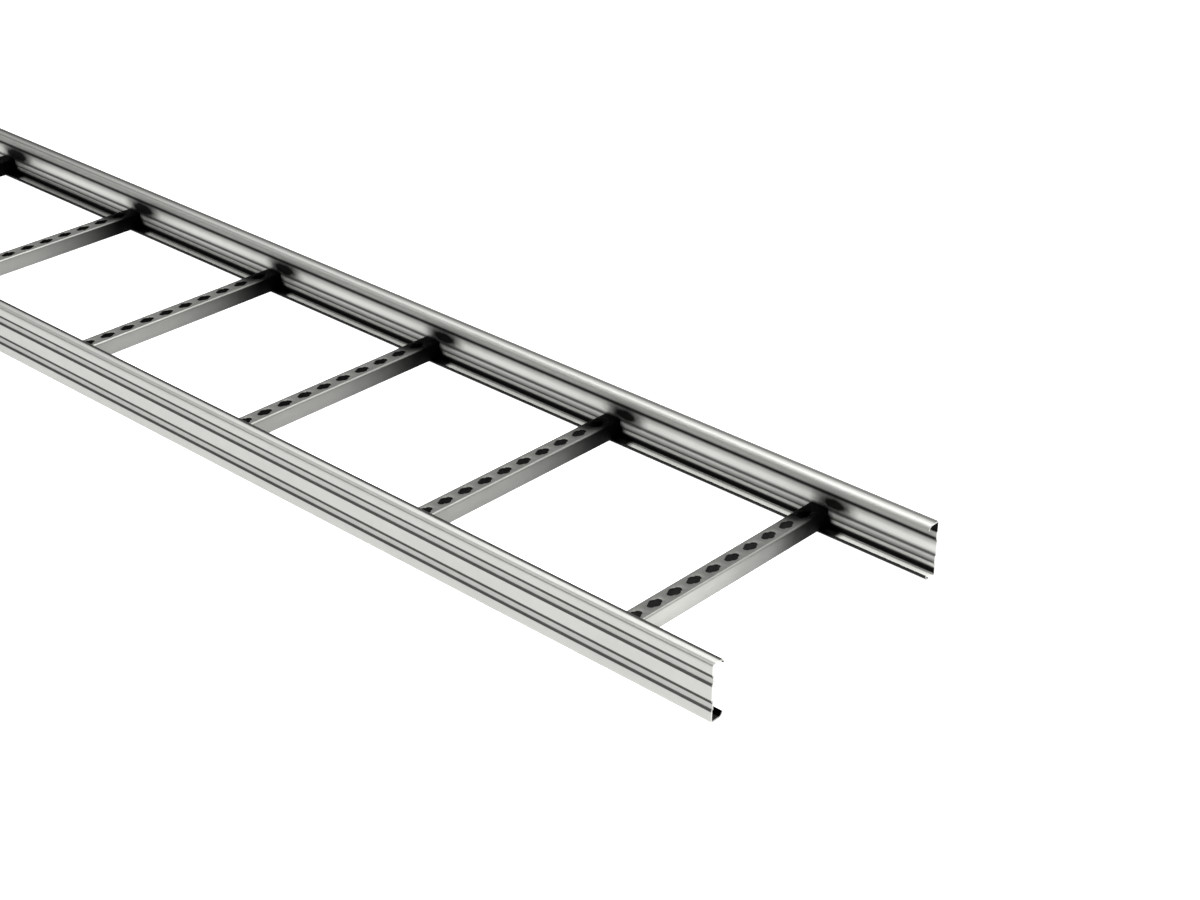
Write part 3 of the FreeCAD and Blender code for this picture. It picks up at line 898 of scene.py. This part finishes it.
# %% Build the plain end
def plain_end():
    shape = bmesh.new()
    start = SLOT_COUNT * SLOT_PITCH / 2
    crosswise = sorted({round(x, PLACE_DIGITS) for x, y in cell_edge if abs(y - SLOT_PITCH / 2) < SAME_PLACE})
    for z, upwards in ((RUNG_HEIGHT, True), (RUNG_HEIGHT - RUNG_SHEET, False)):
        near_row = [shape.verts.new((x, start, z)) for x in crosswise]
        far_row = [shape.verts.new((x, rung_reach, z)) for x in crosswise]
        for index in range(len(crosswise) - 1):
            corners = [near_row[index], near_row[index + 1], far_row[index + 1], far_row[index]]
            shape.faces.new(corners if upwards else corners[::-1])
    for mirror in (1, -1):
        add_side(shape, [start, rung_reach], mirror)
    bmesh.ops.remove_doubles(shape, verts=shape.verts, dist=WELD_DISTANCE)
    end_corners = {corner for corner in shape.verts if abs(corner.co.y - rung_reach) < SAME_PLACE}
    rim = [edge for edge in shape.edges if end_corners.issuperset(edge.verts)]
    bmesh.ops.triangle_fill(shape, edges=rim, use_beauty=True, normal=(0, 1, 0))
    return finish_cell("plain_end", shape)


end_mesh = plain_end()
print("faces in a plain end:", len(end_mesh.polygons))

# %% [markdown]
# ## Repeat the cell
# The press punches one slot after another as the strip moves on. The tree
# does the same: a line of points, one cell on each, then a plain end at both
# sides, all joined where they touch. Its inputs are the count and the pitch.

# %% Build the rung tree
repeat, repeat_in, repeat_out = node_tree(
    "repeat_cells", [("Count", float(SLOT_COUNT)), ("Pitch", SLOT_PITCH), ("Place X", 0.0), ("Place Z", 0.0)])
gaps = maths(repeat, "SUBTRACT", repeat_in.outputs["Count"], 1.0)
span = maths(repeat, "MULTIPLY", gaps, repeat_in.outputs["Pitch"])
row = repeat.nodes.new("GeometryNodeMeshLine")
row.mode = "OFFSET"
repeat.links.new(repeat_in.outputs["Count"], row.inputs["Count"])
repeat.links.new(vector_of(repeat, y=maths(repeat, "MULTIPLY", span, -0.5)), row.inputs["Start Location"])
repeat.links.new(vector_of(repeat, y=repeat_in.outputs["Pitch"]), row.inputs["Offset"])
stamp = repeat.nodes.new("GeometryNodeInstanceOnPoints")
repeat.links.new(row.outputs[0], stamp.inputs["Points"])
repeat.links.new(repeat_in.outputs["Geometry"], stamp.inputs["Instance"])
end_source = bpy.data.objects.new("plain_end_source", end_mesh)
end_info = repeat.nodes.new("GeometryNodeObjectInfo")
end_info.inputs["Object"].default_value = end_source
other_end = repeat.nodes.new("GeometryNodeTransform")
other_end.inputs["Rotation"].default_value = (0, 0, math.pi)
repeat.links.new(end_info.outputs["Geometry"], other_end.inputs["Geometry"])
parts = repeat.nodes.new("GeometryNodeJoinGeometry")
for source in (other_end.outputs[0], end_info.outputs["Geometry"], stamp.outputs[0]):
    repeat.links.new(source, parts.inputs[0])
whole = repeat.nodes.new("GeometryNodeRealizeInstances")
repeat.links.new(parts.outputs[0], whole.inputs[0])
welded = repeat.nodes.new("GeometryNodeMergeByDistance")
welded.inputs["Distance"].default_value = 2 * WELD_DISTANCE
repeat.links.new(whole.outputs[0], welded.inputs["Geometry"])
placed = repeat.nodes.new("GeometryNodeTransform")
repeat.links.new(welded.outputs[0], placed.inputs["Geometry"])
place = vector_of(repeat, x=repeat_in.outputs["Place X"], z=repeat_in.outputs["Place Z"])
repeat.links.new(place, placed.inputs["Translation"])
end_tree(repeat, repeat_in, repeat_out, placed.outputs[0])
print("repeat_cells nodes:", len(repeat.nodes))

# %% Make the rungs
for name in rungs:
    steps_from_end = int(name.split("_")[1]) - 1
    place_x = first_rung_x - steps_from_end * RUNG_PITCH
    rung = run_tree(name + "_steel", cell, repeat, {
        "Count": float(SLOT_COUNT), "Pitch": SLOT_PITCH, "Place X": place_x,
        "Place Z": RUNG_FOOT, "Material": rung_steel})
    shade_folds(rung)
    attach(rung, "root")
    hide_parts(name)
print("faces in a rung:", len(rung.data.polygons))
bpy.data.objects.remove(end_source)
